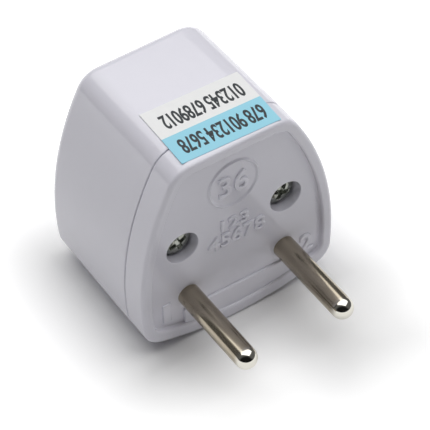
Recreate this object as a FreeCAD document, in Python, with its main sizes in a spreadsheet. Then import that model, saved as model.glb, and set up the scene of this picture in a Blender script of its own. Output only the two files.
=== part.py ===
import FreeCAD, Part
import os
import re
import Sketcher

# Travel plug adapter: a socket shell closed by a cover that carries two round pins.
# Pin frame, shared by every sub-part: X across the pins, -Y the way the pins point,
# Z up from the base, and y = 0 on the sunken floor that the pins stand on.
# The placements then move that frame so that the origin lies under the middle of the part.

SIZES = [
    ("pin_spacing", 19.0, "between the pin axes"),
    ("pin_to_side", 9.45, "pin axis to the widest point of the side, at the seam"),
    ("case_height", 39.65, "base to top at the cover and the seam"),
    ("side_draft", 0.4, "how much each side draws in towards the socket end"),
    ("top_draft", 0.55, "how much the top comes down towards the socket end"),
    ("body_depth", 29.7, "rim to socket face"),
    ("side_radius", 53.0, "bow of the two sides"),
    ("side_peak", 11.4, "height at which the sides are widest"),
    ("base_radius", 54.0, "bow of the base"),
    ("top_corner", 5.0, "radius between top and side"),
    ("base_corner", 4.0, "radius between base and side"),
    ("rim_round", 1.0, "outer edge of the rim"),
    ("socket_round", 2.0, "outer edge of the socket face"),
    ("straight_mouth", 2.0, "first stretch of the shell, before it tapers"),
    ("straight_end", 2.2, "last stretch of the shell, which no longer tapers"),
    ("wall", 2.0, "wall of both mouldings"),
    ("cover_depth", 5.5, "rim to seam"),
    ("floor_recess", 1.0, "how deep the floor lies below the rim"),
    ("rim_width", 2.0, "rim at the sides and top"),
    ("base_rim_width", 2.6, "rim at the base"),
    ("floor_thick", 2.0, "cover floor"),
    ("tongue_length", 1.5, "tongue that centres the cover in the shell"),
    ("tongue_gap", 0.15, "clearance round the tongue and past its end"),
    ("ledge_width", 21.3, "raised ledge below the pins"),
    ("ledge_top", 6.8, "upper edge of the ledge above the base"),
    ("ledge_height", 0.5, "how far the ledge stands off the floor"),
    ("ring_drop", 9.35, "top to the centre of the raised ring"),
    ("ring_radius", 4.9, "outer radius of the raised ring"),
    ("ring_line", 0.5, "width of the raised ring"),
    ("ring_relief", 0.2, "how far the ring stands off the floor"),
    ("pin_height", 9.7, "pin axes above the base"),
    ("pin_radius", 2.0, "round pin"),
    ("pin_length", 19.0, "floor to pin tip"),
    ("neck_depth", 0.25, "how far the pin is turned down where the cover grips it"),
    ("pin_boss_radius", 4.4, "moulded boss around each pin"),
    ("pin_boss_length", 3.5, "boss behind the cover floor"),
    ("collar_radius", 3.2, "collar that bears on the boss"),
    ("collar_thick", 1.2, "collar"),
    ("tail_radius", 1.5, "riveted tail through the contact"),
    ("rivet_radius", 2.4, "upset head of the tail"),
    ("rivet_thick", 0.8, "upset head of the tail"),
    ("screw_spacing", 20.3, "between the screw axes"),
    ("screw_height", 21.1, "screw axes above the base"),
    ("counterbore_radius", 3.05, "counterbore for the screw head"),
    ("counterbore_depth", 3.2, "floor to the seat of the screw head"),
    ("screw_boss_radius", 4.3, "cover boss around the counterbore"),
    ("screw_seat", 1.8, "plastic under the screw head"),
    ("screw_hole_gap", 0.4, "clearance around the screw in the cover"),
    ("screw_radius", 1.25, "screw core and the pilot hole that it fills"),
    ("screw_length", 12.0, "under the head to the tip"),
    ("screw_point", 2.4, "tapered end"),
    ("head_radius", 2.75, "screw head"),
    ("head_height", 1.9, "screw head"),
    ("head_crown", 0.7, "bevel of the screw head"),
    ("drive_span", 3.2, "cross recess, end to end"),
    ("drive_slot", 0.8, "cross recess, width of an arm"),
    ("drive_depth", 1.1, "cross recess"),
    ("post_radius", 3.2, "screw post in the shell"),
    ("face_thick", 3.0, "socket face"),
    ("round_hole_radius", 2.7, "entry for a round pin"),
    ("flat_slot_shift", 1.6, "entry for a broad pin, from the pin axis outwards"),
    ("flat_slot_width", 7.6, "entry for a broad pin"),
    ("flat_slot_height", 4.7, "entry for a broad pin"),
    ("blade_offset", 6.35, "entry for an upright blade, from the middle"),
    ("blade_width", 2.0, "entry for a blade"),
    ("blade_height", 8.4, "entry for an upright blade"),
    ("slant_offset", 6.86, "entry for a slanted blade, from the middle"),
    ("slant_height", 7.4, "entry for a slanted blade"),
    ("slant_angle", 30.0, "degrees from upright"),
    ("earth_slot_width", 4.6, "entry for the earth pin"),
    ("earth_slot_length", 8.9, "entry for the earth pin"),
    ("earth_slot_drop", 3.35, "top to the upper end of the earth entry"),
    ("small_earth_radius", 2.6, "entry for a round earth pin"),
    ("earth_web", 3.0, "face left between the two earth entries"),
    ("divider_thick", 1.4, "insulating wall between the poles"),
    ("divider_over", 1.3, "how far the insulating wall rises above the contact plates"),
    ("divider_gap", 3.0, "insulating wall to the contact plates"),
    ("strip_thick", 0.6, "contact strip"),
    ("plate_inner", 4.7, "contact plate, pin axis to its inner edge"),
    ("plate_outer", 4.0, "contact plate, pin axis to its outer edge"),
    ("plate_half", 4.6, "contact plate, pin axis to its upper edge"),
    ("leaf_inner", 1.1, "jaws, pin axis to their inner edge"),
    ("leaf_room", 4.0, "ends of the leaves to the socket face"),
    ("leaf_nip", 1.75, "pin axis to each jaw where they grip"),
    ("leaf_flare", 3.4, "pin axis to each jaw at its end"),
    ("nip_place", 0.72, "where the leaves grip, as a share of their length"),
    ("blade_leaf_half", 2.6, "half the width of the blade leaf"),
    ("blade_nip", 0.9, "blade leaf, how far it bows towards the pin axis"),
    ("label_width", 18.5, "label across the top"),
    ("label_length", 13.4, "label along the depth"),
    ("label_start", 0.0, "front edge of the label behind the floor"),
    ("label_shift", 0.25, "label off the middle line"),
    ("label_turn", -2.0, "label askew, degrees"),
    ("label_thick", 0.1, "label"),
]
NAMES = [name for name, value, note in SIZES]

doc = FreeCAD.newDocument("TravelPlugAdapter")
sheet = doc.addObject("Spreadsheet::Sheet", "Sizes")
for row, (name, value, note) in enumerate(SIZES, start=1):
    sheet.set("A%d" % row, name)
    sheet.set("B%d" % row, str(value))
    sheet.set("C%d" % row, note)
    sheet.setAlias("B%d" % row, name)
doc.recompute()

# Places that follow from the sizes, in the pin frame
RIM_Y = "(-floor_recess)"
SEAM_Y = "(cover_depth - floor_recess)"
REAR_Y = "(body_depth - floor_recess)"
MOUTH_Y = "(cover_depth - floor_recess + straight_mouth)"
TAPER_Y = "(body_depth - floor_recess - straight_end)"
FACE_Y = "(body_depth - floor_recess - face_thick)"
PIN_BOSS_Y = "(floor_thick + pin_boss_length)"
PLATE_Y = "(floor_thick + pin_boss_length + collar_thick)"
SCREW_BOSS_Y = "(counterbore_depth + screw_seat)"
PIN_X = "(pin_spacing / 2)"
NECK = "(pin_radius - neck_depth)"
SCREW_X = "(screw_spacing / 2)"
CASE_WIDTH = "(pin_spacing + 2 * pin_to_side)"
FLAT_SLOT_X = "(pin_spacing / 2 + flat_slot_shift)"
RING_Z = "(case_height - ring_drop)"
EARTH_HIGH = "(case_height - earth_slot_drop)"
EARTH_LOW = "(case_height - earth_slot_drop - earth_slot_length)"
SMALL_EARTH_Z = "(%s - earth_web - small_earth_radius)" % EARTH_LOW
LEAF_LENGTH = "(%s - leaf_room - %s)" % (FACE_Y, PLATE_Y)
ORIGIN_SHIFT = "((pin_length + floor_recess - body_depth) / 2)"


def full(expression):
    """The expression with each size written as a reference to the sheet."""
    return re.sub(r"[a-z][a-z_]*", lambda word: "Sizes." + word.group(0)
                  if word.group(0) in NAMES else word.group(0), expression)


def number(expression):
    """The expression's value now, in millimetres or degrees."""
    return float(sheet.evalExpression(full(expression)))


def bind(item, path, expression):
    """Ties one property of a document object to the sheet."""
    item.setExpression(path, full(expression))


def new_body(label):
    """An empty sub-part that stands in the shared frame."""
    body = doc.addObject("PartDesign::Body", label)
    body.Label = label
    bind(body, "Placement.Base.y", ORIGIN_SHIFT)
    return body


def new_sketch(body, name, role, offset):
    """A sketch on one of the body's own planes, moved along the plane's normal."""
    sketch = body.newObject("Sketcher::SketchObject", name)
    plane = [item for item in body.Origin.OriginFeatures if item.Role == role][0]
    sketch.AttachmentSupport = [(plane, "")]
    sketch.MapMode = "FlatFace"
    bind(sketch, "AttachmentOffset.Base.z", offset)
    return sketch


def upright(body, name, y):
    """A sketch in X and Z that lies at depth y. Its normal points along -Y."""
    return new_sketch(body, name, "XZ_Plane", "-(%s)" % y)


def datum(sketch, kind, items, expression):
    """One driving dimension of a sketch."""
    index = sketch.addConstraint(Sketcher.Constraint(kind, *items, number(expression)))
    bind(sketch, "Constraints[%d]" % index, expression)


def place(sketch, shape, point, across, up):
    """Holds one point of a sketch's shape at two coordinates."""
    datum(sketch, "DistanceX", (-1, 1, shape, point), across)
    datum(sketch, "DistanceY", (-1, 1, shape, point), up)


def circle(sketch, across, up, radius):
    centre = FreeCAD.Vector(number(across), number(up), 0)
    shape = sketch.addGeometry(Part.Circle(centre, FreeCAD.Vector(0, 0, 1), number(radius)))
    datum(sketch, "Radius", (shape,), radius)
    place(sketch, shape, 3, across, up)


def polygon(sketch, corners):
    """A closed run of lines through corners, each a pair of expressions."""
    points = [FreeCAD.Vector(number(across), number(up), 0) for across, up in corners]
    lines = [sketch.addGeometry(Part.LineSegment(start, end))
             for start, end in zip(points, points[1:] + points[:1])]
    for line, following in zip(lines, lines[1:] + lines[:1]):
        sketch.addConstraint(Sketcher.Constraint("Coincident", line, 2, following, 1))
    for line, (across, up) in zip(lines, corners):
        place(sketch, line, 1, across, up)


def box(sketch, left, right, low, high):
    polygon(sketch, [(left, low), (right, low), (right, high), (left, high)])


def arc(centre, radius, start, end):
    """An arc from one point to another, both on its circle, counter-clockwise."""
    round_line = Part.Circle(FreeCAD.Vector(centre[0], centre[1], 0),
                             FreeCAD.Vector(0, 0, 1), radius)
    first = round_line.parameter(FreeCAD.Vector(start[0], start[1], 0))
    last = round_line.parameter(FreeCAD.Vector(end[0], end[1], 0))
    return Part.ArcOfCircle(round_line, first, last)


def away(centre, from_centre, radius):
    """The point of a corner's circle that touches the larger circle around it."""
    step = FreeCAD.Vector(centre[0] - from_centre[0], centre[1] - from_centre[1], 0)
    step.normalize()
    return (centre[0] + step.x * radius, centre[1] + step.y * radius)


def mirrored(point):
    return (-point[0], point[1])


def lower_crossing(one_centre, one_reach, other_centre, other_reach):
    """The lower of the two points that lie at both reaches from the two centres."""
    line = FreeCAD.Vector(other_centre[0] - one_centre[0], other_centre[1] - one_centre[1], 0)
    along = (one_reach ** 2 - other_reach ** 2 + line.Length ** 2) / (2 * line.Length)
    aside = (one_reach ** 2 - along ** 2) ** 0.5
    line.normalize()
    foot = FreeCAD.Vector(one_centre[0], one_centre[1], 0) + line * along
    square = FreeCAD.Vector(-line.y, line.x, 0) * aside
    crossings = [foot + square, foot - square]
    lower = min(crossings, key=lambda point: point.y)
    return (lower.x, lower.y)


def outline(body, name, y, width, height, inset, base_inset):
    """Section of the adapter: flat top, bowed sides and base, four round corners.

    The inset moves the whole line inwards and keeps the centres of its arcs.
    """
    sketch = upright(body, name, y)
    top_round = "max(top_corner - (%s); 0.5)" % inset
    base_round = "max(base_corner - (%s); 0.5)" % inset
    side_round = "(side_radius - (%s))" % inset
    base_bow = "(base_radius - (%s))" % base_inset
    side_across = "((%s) / 2 - side_radius)" % width
    top_up = "((%s) - (%s))" % (height, inset)

    side_centre = (number(side_across), number("side_peak"))
    base_centre = (0.0, number("base_radius"))
    top_reach = number(side_round) - number(top_round)
    top_centre_up = number(top_up) - number(top_round)
    top_centre = (side_centre[0]
                  + (top_reach ** 2 - (top_centre_up - side_centre[1]) ** 2) ** 0.5,
                  top_centre_up)
    base_corner_centre = lower_crossing(base_centre, number(base_bow) - number(base_round),
                                        side_centre, number(side_round) - number(base_round))
    top_end = (top_centre[0], number(top_up))
    side_end = away(top_centre, side_centre, number(top_round))
    side_start = away(base_corner_centre, side_centre, number(base_round))
    base_end = away(base_corner_centre, base_centre, number(base_round))

    shapes = [
        arc(side_centre, number(side_round), side_start, side_end),
        arc(top_centre, number(top_round), side_end, top_end),
        Part.LineSegment(FreeCAD.Vector(top_end[0], top_end[1], 0),
                         FreeCAD.Vector(-top_end[0], top_end[1], 0)),
        arc(mirrored(top_centre), number(top_round), mirrored(top_end), mirrored(side_end)),
        arc(mirrored(side_centre), number(side_round), mirrored(side_end),
            mirrored(side_start)),
        arc(mirrored(base_corner_centre), number(base_round), mirrored(side_start),
            mirrored(base_end)),
        arc(base_centre, number(base_bow), mirrored(base_end), base_end),
        arc(base_corner_centre, number(base_round), base_end, side_start),
    ]
    right, right_top, top, left_top, left, left_base, base, right_base = [
        sketch.addGeometry(shape) for shape in shapes]
    loop = [right, right_top, top, left_top, left, left_base, base, right_base]
    for line, following in zip(loop, loop[1:] + loop[:1]):
        sketch.addConstraint(Sketcher.Constraint("Tangent", line, 2, following, 1))
    for one, other in ((right, left), (right_top, left_top), (right_base, left_base)):
        sketch.addConstraint(Sketcher.Constraint("Equal", one, other))
    sketch.addConstraint(Sketcher.Constraint("Symmetric", right, 3, left, 3, -2))
    sketch.addConstraint(Sketcher.Constraint("PointOnObject", base, 3, -2))
    sketch.addConstraint(Sketcher.Constraint("Horizontal", top))
    datum(sketch, "Radius", (right,), side_round)
    datum(sketch, "Radius", (right_top,), top_round)
    datum(sketch, "Radius", (right_base,), base_round)
    datum(sketch, "Radius", (base,), base_bow)
    place(sketch, right, 3, side_across, "side_peak")
    datum(sketch, "DistanceY", (-1, 1, base, 3), "base_radius")
    datum(sketch, "DistanceY", (-1, 1, top, 1), top_up)
    return sketch


def loft(body, kind, name, front, rear):
    feature = body.newObject("PartDesign::%sLoft" % kind, name)
    feature.Profile = front
    feature.Sections = [rear]
    feature.Ruled = True
    doc.recompute()
    return feature


def pad(body, name, sketch, length, backwards=False):
    """Adds material. An upright sketch pads along -Y, or along +Y when backwards."""
    feature = body.newObject("PartDesign::Pad", name)
    feature.Profile = sketch
    feature.Reversed = backwards
    bind(feature, "Length", length)
    doc.recompute()
    return feature


def pocket(body, name, sketch, depth=None, backwards=False):
    """Removes material. An upright sketch cuts along +Y, or along -Y when backwards.

    Without a depth the cut goes right through.
    """
    before = body.Tip.Shape.Volume
    feature = body.newObject("PartDesign::Pocket", name)
    feature.Profile = sketch
    feature.Reversed = backwards
    if depth is None:
        feature.Type = "ThroughAll"
    else:
        bind(feature, "Length", depth)
    doc.recompute()
    if feature.Shape.Volume >= before:
        raise ValueError("%s removes nothing" % name)
    return feature


def turned(body, name, profile):
    """A revolved solid about the sketch's upright axis."""
    feature = body.newObject("PartDesign::Revolution", name)
    feature.Profile = profile
    feature.ReferenceAxis = (profile, ["V_Axis"])
    feature.Angle = 360
    doc.recompute()
    return feature


def edges_at(feature, y):
    """Names of the feature's edges that lie wholly at one depth."""
    depth = number(y)
    return ["Edge%d" % index for index, edge in enumerate(feature.Shape.Edges, start=1)
            if max(abs(edge.BoundBox.YMin - depth), abs(edge.BoundBox.YMax - depth)) < 0.01]


def round_edges(body, name, y, radius):
    """Rounds the edges of the solid so far that lie at one depth."""
    feature = body.Tip
    fillet = body.newObject("PartDesign::Fillet", name)
    fillet.Base = (feature, edges_at(feature, y))
    bind(fillet, "Radius", radius)
    doc.recompute()


def cover_line(body, name, y, inset, base_inset):
    """Section of the cover and of the seam."""
    return outline(body, name, y, CASE_WIDTH, "case_height", inset, base_inset)


def end_line(body, name, y, inset):
    """Section of the shell where it no longer tapers."""
    return outline(body, name, y, CASE_WIDTH + " - 2 * side_draft",
                   "case_height - top_draft", inset, inset)


def make_cover():
    """Cover with the sunken floor, ledge, ring, counterbores, bosses and tongue."""
    body = new_body("pin_cover")
    block = cover_line(body, "cover_outer_line", SEAM_Y, "0", "0")
    pad(body, "cover_block", block, "cover_depth")
    round_edges(body, "rim_edge", RIM_Y, "rim_round")
    floor = cover_line(body, "floor_line", RIM_Y, "rim_width", "base_rim_width")
    pocket(body, "sunken_floor", floor, "floor_recess")

    ledge = upright(body, "ledge_line", "0")
    box(ledge, "-ledge_width / 2", "ledge_width / 2", "base_rim_width", "ledge_top")
    pad(body, "ledge", ledge, "ledge_height")
    ring = upright(body, "ring_line", "0")
    circle(ring, "0", RING_Z, "ring_radius")
    circle(ring, "0", RING_Z, "ring_radius - ring_line")
    pad(body, "raised_ring", ring, "ring_relief")

    hollow = cover_line(body, "cover_hollow_line", SEAM_Y, "wall", "wall")
    pocket(body, "cover_hollow", hollow, SEAM_Y + " - floor_thick", backwards=True)
    tongue = cover_line(body, "tongue_outer_line", SEAM_Y, "wall / 2 + tongue_gap",
                        "wall / 2 + tongue_gap")
    pad(body, "tongue_block", tongue, "tongue_length", backwards=True)
    bore = cover_line(body, "tongue_inner_line", SEAM_Y, "wall", "wall")
    pocket(body, "tongue_bore", bore, "tongue_length")

    bosses = upright(body, "boss_lines", "floor_thick")
    for side in ("-", ""):
        circle(bosses, side + PIN_X, "pin_height", "pin_boss_radius")
    pad(body, "pin_bosses", bosses, "pin_boss_length", backwards=True)
    screw_bosses = upright(body, "screw_boss_lines", "floor_thick")
    for side in ("-", ""):
        circle(screw_bosses, side + SCREW_X, "screw_height", "screw_boss_radius")
    pad(body, "screw_bosses", screw_bosses, SCREW_BOSS_Y + " - floor_thick", backwards=True)

    bores = upright(body, "pin_bore_lines", RIM_Y)
    counterbores = upright(body, "counterbore_lines", RIM_Y)
    clearances = upright(body, "clearance_lines", RIM_Y)
    for side in ("-", ""):
        circle(bores, side + PIN_X, "pin_height", NECK)
        circle(counterbores, side + SCREW_X, "screw_height", "counterbore_radius")
        circle(clearances, side + SCREW_X, "screw_height", "screw_radius + screw_hole_gap")
    pocket(body, "pin_bores", bores)
    pocket(body, "counterbores", counterbores, "counterbore_depth + floor_recess")
    pocket(body, "screw_clearances", clearances)
    return body


def turned_box(side, across, up, width, height, angle):
    """Corners of a rectangle turned about its middle, mirrored for the other side."""
    corners = []
    for right, above in (("(-1)", "(-1)"), ("1", "(-1)"), ("1", "1"), ("(-1)", "1")):
        corners.append((
            "%s(%s + %s * (%s) / 2 * cos(%s) - %s * (%s) / 2 * sin(%s))"
            % (side, across, right, width, angle, above, height, angle),
            "%s + %s * (%s) / 2 * cos(%s) + %s * (%s) / 2 * sin(%s)"
            % (up, above, height, angle, right, width, angle)))
    return corners


def slanted_slot(sketch, side):
    """Entry for a blade that leans outwards towards its top."""
    polygon(sketch, turned_box(side, "slant_offset", "pin_height",
                               "blade_width", "slant_height", "(-slant_angle)"))


def make_shell():
    """Shell with the socket face, its entries, the insulating wall and the screw posts."""
    body = new_body("socket_shell")
    seam = cover_line(body, "shell_seam_line", SEAM_Y, "0", "0")
    pad(body, "shell_start", seam, "straight_mouth", backwards=True)
    loft(body, "Additive", "shell_taper", cover_line(body, "taper_start_line", MOUTH_Y, "0", "0"),
         end_line(body, "taper_end_line", TAPER_Y, "0"))
    end = end_line(body, "shell_end_line", TAPER_Y, "0")
    pad(body, "shell_end", end, "straight_end", backwards=True)
    round_edges(body, "socket_edge", REAR_Y, "socket_round")

    hollow = end_line(body, "hollow_line", SEAM_Y, "wall")
    pocket(body, "shell_hollow", hollow, FACE_Y + " - " + SEAM_Y)
    mouth = cover_line(body, "mouth_line", SEAM_Y, "wall / 2", "wall / 2")
    pocket(body, "shell_mouth", mouth, "tongue_length + tongue_gap")

    posts = upright(body, "post_lines", SCREW_BOSS_Y)
    for side in ("-", ""):
        circle(posts, side + SCREW_X, "screw_height", "post_radius")
    pad(body, "screw_posts", posts, FACE_Y + " - " + SCREW_BOSS_Y, backwards=True)
    pilots = upright(body, "pilot_lines", SCREW_BOSS_Y)
    for side in ("-", ""):
        circle(pilots, side + SCREW_X, "screw_height", "screw_radius")
    pocket(body, "screw_pilots", pilots, "screw_length")

    divider = upright(body, "divider_line", PLATE_Y + " + divider_gap")
    box(divider, "-divider_thick / 2", "divider_thick / 2", "wall / 2",
        "pin_height + plate_half + divider_over")
    pad(body, "divider", divider, FACE_Y + " - " + PLATE_Y + " - divider_gap",
        backwards=True)

    rounds = upright(body, "round_entry_lines", FACE_Y)
    broad = upright(body, "broad_entry_lines", FACE_Y)
    blades = upright(body, "blade_entry_lines", FACE_Y)
    slants = upright(body, "slant_entry_lines", FACE_Y)
    for side in ("-", ""):
        circle(rounds, side + PIN_X, "pin_height", "round_hole_radius")
        box(broad, side + "(%s - flat_slot_width / 2)" % FLAT_SLOT_X,
            side + "(%s + flat_slot_width / 2)" % FLAT_SLOT_X,
            "pin_height - flat_slot_height / 2", "pin_height + flat_slot_height / 2")
        box(blades, side + "(blade_offset - blade_width / 2)",
            side + "(blade_offset + blade_width / 2)",
            "pin_height - blade_height / 2", "pin_height + blade_height / 2")
        slanted_slot(slants, side)
    pocket(body, "round_entries", rounds)
    pocket(body, "broad_entries", broad)
    pocket(body, "blade_entries", blades)
    pocket(body, "slant_entries", slants)
    earth = upright(body, "earth_entry_line", FACE_Y)
    box(earth, "-earth_slot_width / 2", "earth_slot_width / 2",
        EARTH_LOW, EARTH_HIGH)
    pocket(body, "earth_entry", earth)
    small_earth = upright(body, "small_earth_line", FACE_Y)
    circle(small_earth, "0", SMALL_EARTH_Z, "small_earth_radius")
    pocket(body, "small_earth_entry", small_earth)
    return body


def make_pin(label, side):
    """Round pin: domed tip, neck in the cover, collar behind it, tail upset over the contact."""
    body = new_body(label)
    bind(body, "Placement.Base.x", side + PIN_X)
    bind(body, "Placement.Base.z", "pin_height")
    sketch = new_sketch(body, label + "_profile", "XY_Plane", "0")
    tail_end = PLATE_Y + " + strip_thick"
    corners = [("pin_radius", "-pin_length + pin_radius"), ("pin_radius", "0"),
               (NECK, "0"), (NECK, PIN_BOSS_Y),
               ("collar_radius", PIN_BOSS_Y), ("collar_radius", PLATE_Y),
               ("tail_radius", PLATE_Y), ("tail_radius", tail_end),
               ("rivet_radius", tail_end), ("tail_radius", tail_end + " + rivet_thick"),
               ("0", tail_end + " + rivet_thick"), ("0", "-pin_length")]
    points = [FreeCAD.Vector(number(across), number(along), 0) for across, along in corners]
    lines = [sketch.addGeometry(Part.LineSegment(start, end))
             for start, end in zip(points, points[1:])]
    centre = (0.0, number("-pin_length + pin_radius"))
    tip = sketch.addGeometry(arc(centre, number("pin_radius"),
                                 (points[-1].x, points[-1].y), (points[0].x, points[0].y)))
    for line, following in zip(lines, lines[1:] + [tip]):
        sketch.addConstraint(Sketcher.Constraint("Coincident", line, 2, following, 1))
    sketch.addConstraint(Sketcher.Constraint("Coincident", tip, 2, lines[0], 1))
    for line, (across, along) in zip(lines, corners):
        place(sketch, line, 1, across, along)
    place(sketch, tip, 3, "0", "-pin_length + pin_radius")
    sketch.addConstraint(Sketcher.Constraint("PointOnObject", tip, 1, -2))
    turned(body, label + "_turned", sketch)
    return body


def make_contact(label, side, turn):
    """Folded brass contact: riveted plate, two jaws for pins and one leaf for blades.

    It is drawn from the pin axis outwards. The other pole is the same piece,
    turned half round about its pin.
    """
    body = new_body(label)
    bind(body, "Placement.Base.x", side + PIN_X)
    bind(body, "Placement.Base.z", "pin_height")
    body.Placement.Rotation = FreeCAD.Rotation(FreeCAD.Vector(0, 1, 0), turn)
    plate = upright(body, label + "_plate_line", PLATE_Y)
    box(plate, "-plate_inner", "plate_outer", "-plate_half", "plate_half")
    pad(body, label + "_plate", plate, "strip_thick", backwards=True)

    root = PLATE_Y
    nip = "%s + %s * nip_place" % (PLATE_Y, LEAF_LENGTH)
    tip = "%s + %s" % (PLATE_Y, LEAF_LENGTH)
    for name, way in (("lower", "-"), ("upper", "")):
        jaw = new_sketch(body, "%s_%s_line" % (label, name), "YZ_Plane", "-leaf_inner")
        polygon(jaw, [(root, way + "(plate_half - strip_thick)"), (root, way + "plate_half"),
                      (root + " + 2 * strip_thick", way + "plate_half"),
                      (nip, way + "(leaf_nip + strip_thick)"),
                      (tip, way + "(leaf_flare + strip_thick)"),
                      (tip, way + "leaf_flare"), (nip, way + "leaf_nip"),
                      (root + " + 2 * strip_thick", way + "(plate_half - strip_thick)")])
        pad(body, "%s_%s_jaw" % (label, name), jaw, "leaf_inner + plate_outer")
    leaf = new_sketch(body, label + "_leaf_line", "XY_Plane", "-blade_leaf_half")
    polygon(leaf, [("-plate_inner", root), ("-plate_inner + strip_thick", root),
                   ("-plate_inner + strip_thick", root + " + 2 * strip_thick"),
                   ("-plate_inner + strip_thick + blade_nip", nip),
                   ("-plate_inner + strip_thick", tip), ("-plate_inner", tip),
                   ("-plate_inner + blade_nip", nip),
                   ("-plate_inner", root + " + 2 * strip_thick")])
    pad(body, label + "_blade_leaf", leaf, "2 * blade_leaf_half")
    hole = upright(body, label + "_rivet_line", PLATE_Y)
    circle(hole, "0", "0", "tail_radius")
    pocket(body, label + "_rivet_hole", hole, "strip_thick")
    return body


def make_screw(label, side):
    """Pan-head screw with a cross recess and a tapered point."""
    body = new_body(label)
    bind(body, "Placement.Base.x", side + SCREW_X)
    bind(body, "Placement.Base.z", "screw_height")
    profile = new_sketch(body, label + "_profile", "XY_Plane", "0")
    top = "(counterbore_depth - head_height)"
    polygon(profile, [("0", top), ("head_radius - head_crown", top),
                      ("head_radius", top + " + head_crown"),
                      ("head_radius", "counterbore_depth"),
                      ("screw_radius", "counterbore_depth"),
                      ("screw_radius", "counterbore_depth + screw_length - screw_point"),
                      ("0", "counterbore_depth + screw_length")])
    turned(body, label + "_turned", profile)
    drive = upright(body, label + "_drive_line", top)
    out = "drive_span / 2"
    near = "drive_slot / 2"
    polygon(drive, [(near, near), (near, out), ("-" + near, out), ("-" + near, near),
                    ("-" + out, near), ("-" + out, "-" + near), ("-" + near, "-" + near),
                    ("-" + near, "-" + out), (near, "-" + out), (near, "-" + near),
                    (out, "-" + near), (out, near)])
    pocket(body, label + "_drive", drive, "drive_depth")
    return body


def make_label():
    """Label that follows the top, a little askew, across the seam."""
    body = new_body("top_label")
    front = cover_line(body, "label_front_line", MOUTH_Y, "-label_thick", "-label_thick")
    pad(body, "label_front", front, "cover_depth + straight_mouth")
    rear = cover_line(body, "label_rear_line", MOUTH_Y, "-label_thick", "-label_thick")
    loft(body, "Additive", "label_rear", rear,
         end_line(body, "label_end_line", TAPER_Y, "-label_thick"))
    below = new_sketch(body, "label_below", "XY_Plane", "case_height - top_corner")
    box(below, "-" + CASE_WIDTH, CASE_WIDTH, "-body_depth", "2 * body_depth")
    pocket(body, "label_upper_part", below)
    around = new_sketch(body, "label_outline", "XY_Plane", "2 * case_height")
    box(around, "-" + CASE_WIDTH, CASE_WIDTH, "-body_depth", "2 * body_depth")
    polygon(around, turned_box("", "label_shift", "label_start + label_length / 2",
                               "label_width", "label_length", "label_turn"))
    pocket(body, "label_trim", around)
    cover = cover_line(body, "under_front_line", RIM_Y, "0", "0")
    pocket(body, "under_front", cover, "cover_depth + straight_mouth")
    shell = cover_line(body, "under_rear_line", MOUTH_Y, "0", "0")
    loft(body, "Subtractive", "under_rear", shell,
         end_line(body, "under_end_line", TAPER_Y, "0"))
    return body


bodies = [
    make_cover(),
    make_shell(),
    make_pin("pin_left", "-"),
    make_pin("pin_right", ""),
    make_contact("contact_left", "-", 180),
    make_contact("contact_right", "", 0),
    make_screw("screw_left", "-"),
    make_screw("screw_right", ""),
    make_label(),
]

doc.recompute()
for item in doc.Objects:
    if "Invalid" in item.State or "Error" in item.State:
        raise ValueError("%s did not build" % item.Label)
for body in bodies:
    if body.Shape.isNull() or not body.Shape.isValid():
        raise ValueError("%s has no valid shape" % body.Label)

os.makedirs("parts", exist_ok=True)
for body in bodies:
    body.Shape.exportStep("parts/%s.step" % body.Label)
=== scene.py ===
import math

import bmesh
import bpy
import numpy as np
from mathutils import Matrix, Vector
from mathutils.geometry import tessellate_polygon


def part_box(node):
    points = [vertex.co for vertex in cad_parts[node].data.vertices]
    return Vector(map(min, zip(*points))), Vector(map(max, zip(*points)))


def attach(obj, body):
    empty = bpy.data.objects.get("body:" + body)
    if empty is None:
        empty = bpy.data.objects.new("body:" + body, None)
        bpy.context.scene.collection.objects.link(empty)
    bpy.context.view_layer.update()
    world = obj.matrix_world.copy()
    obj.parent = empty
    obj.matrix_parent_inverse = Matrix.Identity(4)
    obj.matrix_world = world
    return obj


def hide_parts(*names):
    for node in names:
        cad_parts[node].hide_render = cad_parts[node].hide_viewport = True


# Closed travel plug adapter on a white table.
# Sizes are millimetres. Shapes are worked out in the pin frame: X across the pins, -Y the way
# they point, Z up from the base, and y = 0 on the sunken floor. Meshes are metres in the part's
# frame.

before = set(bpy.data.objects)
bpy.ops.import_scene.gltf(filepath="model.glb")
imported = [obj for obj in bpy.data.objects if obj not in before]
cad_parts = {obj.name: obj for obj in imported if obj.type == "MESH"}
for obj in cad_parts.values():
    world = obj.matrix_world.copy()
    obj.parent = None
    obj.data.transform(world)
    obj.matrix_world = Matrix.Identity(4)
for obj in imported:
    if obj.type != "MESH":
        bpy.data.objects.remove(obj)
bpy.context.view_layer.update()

MM = 0.001
COVER_LOW, COVER_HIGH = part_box("pin_cover")
SHELL_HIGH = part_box("socket_shell")[1]
PIN_LOW, PIN_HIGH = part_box("pin_right")
SCREW_LOW, SCREW_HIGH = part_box("screw_right")

# Case, common to both mouldings. A taper of 0 is the full section and 1 the one at the socket.
FLOOR_RECESS = 1.0
FLOOR_PLACE = round(COVER_LOW.y / MM, 3) + FLOOR_RECESS
HALF_WIDTH = round((COVER_HIGH.x - COVER_LOW.x) / MM, 3) / 2
HEIGHT = round(COVER_HIGH.z / MM, 3)
REAR_Y = round(SHELL_HIGH.y / MM, 3) - FLOOR_PLACE
FACE_THICK = 3.0
FACE_Y = REAR_Y - FACE_THICK
SEAM_Y = 4.5
MOUTH_Y = 6.5
SOCKET_STRAIGHT = 2.2
TAPER_Y = REAR_Y - SOCKET_STRAIGHT
SIDE_RADIUS = 53.0
SIDE_PEAK = 11.4
BASE_RADIUS = 54.0
TOP_CORNER = 5.0
BASE_CORNER = 4.0
SMALLEST_CORNER = 0.5
SMALLEST_ROUND = 0.01
SIDE_DRAFT = 0.4
TOP_DRAFT = 0.55
WALL = 2.0
SEAM_GAP = 0.09

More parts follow.
